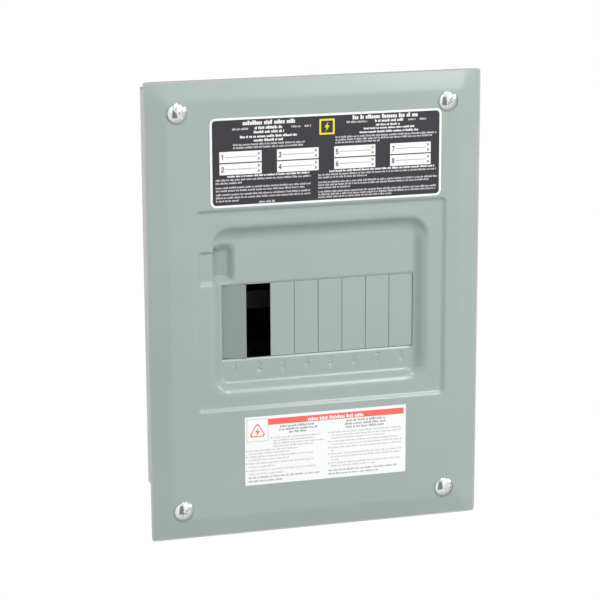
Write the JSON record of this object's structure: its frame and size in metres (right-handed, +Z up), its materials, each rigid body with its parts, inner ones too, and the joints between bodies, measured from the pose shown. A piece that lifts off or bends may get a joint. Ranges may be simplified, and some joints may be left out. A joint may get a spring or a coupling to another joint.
{
  "type": "residential load center",
  "caption": "Flush indoor electrical load center box with a recessed screw-on cover, twist-out breaker plates and plug-on bus bars.",
  "frame": {"origin": "centre of the outside of the box's back face", "axes": "+Z up as mounted on the wall, +Y out of the back into the wall, -Y towards the person who opens the cover, +X to that person's right"},
  "size_m": [0.263, 0.1041, 0.356],
  "materials": {
    "enamel": "semi-gloss baked enamel",
    "box_enamel": "baked enamel",
    "galvanised_steel": "galvanised",
    "zinc_steel": "zinc plated",
    "plated_bus": "tin plated",
    "aluminium": "extruded",
    "black_plastic": "moulded",
    "green_screw": "dyed green",
    "label_dark": "printed film",
    "label_white": "printed film"
  },
  "bodies": {
    "box": {"bonding_screw": "green_screw", "bonding_strap": "galvanised_steel", "bottom_end_wall": "box_enamel", "breaker_rail": "galvanised_steel", "bus_bar_a": "plated_bus", "bus_bar_b": "plated_bus", "enclosure_wrapper": "box_enamel", "ground_bar": "aluminium", "ground_bar_screws": "zinc_steel", "ground_terminal_screws": "zinc_steel", "insulating_base": "black_plastic", "interior_pan": "galvanised_steel", "main_lug_a": "aluminium", "main_lug_b": "aluminium", "neutral_bar": "aluminium", "neutral_lug": "aluminium", "neutral_support_left": "black_plastic", "neutral_support_right": "black_plastic", "neutral_terminal_screws": "zinc_steel", "pan_screws": "zinc_steel", "top_end_wall": "box_enamel"},
    "cover_assembly": {"cover": "enamel", "directory_label": "label_dark", "warning_label": "label_white"},
    "twist_out_1_body": {"twist_out_1": "enamel"},
    "twist_out_3_body": {"twist_out_3": "enamel"},
    "twist_out_4_body": {"twist_out_4": "enamel"},
    "twist_out_5_body": {"twist_out_5": "enamel"},
    "twist_out_6_body": {"twist_out_6": "enamel"},
    "twist_out_7_body": {"twist_out_7": "enamel"},
    "twist_out_8_body": {"twist_out_8": "enamel"},
    "cover_screw_top_left_body": {"cover_screw_top_left": "zinc_steel"},
    "cover_screw_top_right_body": {"cover_screw_top_right": "zinc_steel"},
    "cover_screw_bottom_left_body": {"cover_screw_bottom_left": "zinc_steel"},
    "cover_screw_bottom_right_body": {"cover_screw_bottom_right": "zinc_steel"},
    "main_lug_screw_a_body": {"main_lug_screw_a": "zinc_steel"},
    "main_lug_screw_b_body": {"main_lug_screw_b": "zinc_steel"},
    "neutral_lug_screw_body": {"neutral_lug_screw": "zinc_steel"}
  },
  "joints": [
    {"name": "cover_lift_off", "type": "slide", "parent": "box", "child": "cover_assembly", "axis": [0, -1, 0], "range_m": [0, 0.15]},
    {"name": "twist_out_1_twist", "type": "hinge", "parent": "cover_assembly", "child": "twist_out_1_body", "pos_m": [-0.06198, -0.0907, -0.0096], "axis": [0, 0, 1], "range_deg": [-50, 70]},
    {"name": "twist_out_3_twist", "type": "hinge", "parent": "cover_assembly", "child": "twist_out_3_body", "pos_m": [-0.02388, -0.0907, -0.0096], "axis": [0, 0, 1], "range_deg": [-60, 60]},
    {"name": "twist_out_4_twist", "type": "hinge", "parent": "cover_assembly", "child": "twist_out_4_body", "pos_m": [-0.00483, -0.0907, -0.0096], "axis": [0, 0, 1], "range_deg": [-60, 60]},
    {"name": "twist_out_5_twist", "type": "hinge", "parent": "cover_assembly", "child": "twist_out_5_body", "pos_m": [0.01422, -0.0907, -0.0096], "axis": [0, 0, 1], "range_deg": [-60, 60]},
    {"name": "twist_out_6_twist", "type": "hinge", "parent": "cover_assembly", "child": "twist_out_6_body", "pos_m": [0.03327, -0.0907, -0.0096], "axis": [0, 0, 1], "range_deg": [-60, 60]},
    {"name": "twist_out_7_twist", "type": "hinge", "parent": "cover_assembly", "child": "twist_out_7_body", "pos_m": [0.05233, -0.0907, -0.0096], "axis": [0, 0, 1], "range_deg": [-60, 60]},
    {"name": "twist_out_8_twist", "type": "hinge", "parent": "cover_assembly", "child": "twist_out_8_body", "pos_m": [0.07137, -0.0907, -0.0096], "axis": [0, 0, 1], "range_deg": [-60, 60]},
    {"name": "cover_screw_top_left_turn", "type": "hinge", "parent": "cover_assembly", "child": "cover_screw_top_left_body", "pos_m": [-0.1056, -0.1005, 0.1546], "axis": [0, 1, 0], "continuous": true},
    {"name": "cover_screw_top_right_turn", "type": "hinge", "parent": "cover_assembly", "child": "cover_screw_top_right_body", "pos_m": [0.1056, -0.1005, 0.1546], "axis": [0, 1, 0], "continuous": true},
    {"name": "cover_screw_bottom_left_turn", "type": "hinge", "parent": "cover_assembly", "child": "cover_screw_bottom_left_body", "pos_m": [-0.1056, -0.1005, -0.1546], "axis": [0, 1, 0], "continuous": true},
    {"name": "cover_screw_bottom_right_turn", "type": "hinge", "parent": "cover_assembly", "child": "cover_screw_bottom_right_body", "pos_m": [0.1056, -0.1005, -0.1546], "axis": [0, 1, 0], "continuous": true},
    {"name": "main_lug_screw_a_turn", "type": "hinge", "parent": "box", "child": "main_lug_screw_a_body", "pos_m": [-0.056, -0.048, 0.079], "axis": [0, 1, 0], "continuous": true},
    {"name": "main_lug_screw_b_turn", "type": "hinge", "parent": "box", "child": "main_lug_screw_b_body", "pos_m": [0.073, -0.048, 0.079], "axis": [0, 1, 0], "continuous": true},
    {"name": "neutral_lug_screw_turn", "type": "hinge", "parent": "box", "child": "neutral_lug_screw_body", "pos_m": [-0.068, -0.048, -0.095], "axis": [0, 1, 0], "continuous": true}
  ]
}
